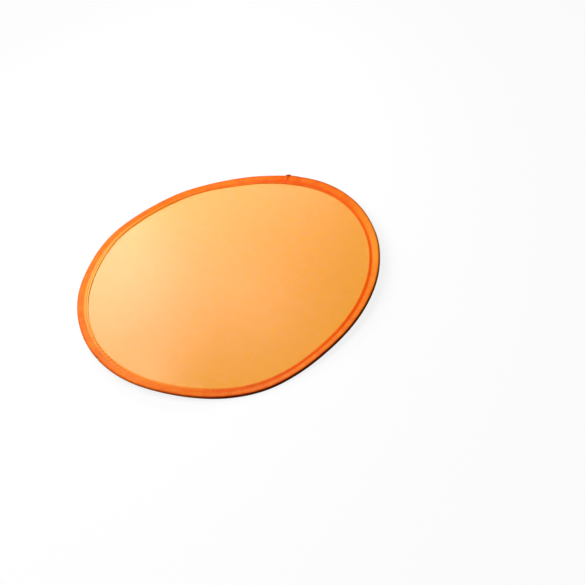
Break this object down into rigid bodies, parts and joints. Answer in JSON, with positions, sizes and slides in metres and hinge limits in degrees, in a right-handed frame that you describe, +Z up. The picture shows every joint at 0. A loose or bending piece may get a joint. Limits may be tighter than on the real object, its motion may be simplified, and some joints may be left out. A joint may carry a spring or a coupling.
{
  "type": "flying disc",
  "caption": "Folding fabric flying disc: a thin nylon panel held open by a spring wire hoop inside a sewn rim tape, which folds in half for packing.",
  "frame": {"origin": "on the floor under the middle of the disc", "axes": "+Z up out of the upper face, Y along the fold line, +X towards the half that holds the tape's folded-over end"},
  "size_m": [0.245, 0.245, 0.0116],
  "materials": {
    "panel_cloth": "thin coated nylon with a soft sheen",
    "rim_tape": "woven nylon tape",
    "thread": "polyester sewing thread",
    "spring_wire": "drawn spring steel",
    "crimp_metal": "crimped brass tube"
  },
  "bodies": {
    "right_half": {"panel_right": "panel_cloth", "tape_right": "rim_tape", "tape_end_fold": "rim_tape", "wire_right": "spring_wire", "wire_sleeve": "crimp_metal", "needle_thread_right": "thread", "bobbin_thread_right": "thread"},
    "left_half": {"panel_left": "panel_cloth", "tape_left": "rim_tape", "wire_left": "spring_wire", "needle_thread_left": "thread", "bobbin_thread_left": "thread"}
  },
  "joints": [
    {"name": "fold", "type": "hinge", "parent": "right_half", "child": "left_half", "pos_m": [0, 0, 0.0029], "axis": [0, 1, 0], "range_deg": [0, 165], "stiffness_Nm_per_rad": 0.35}
  ]
}
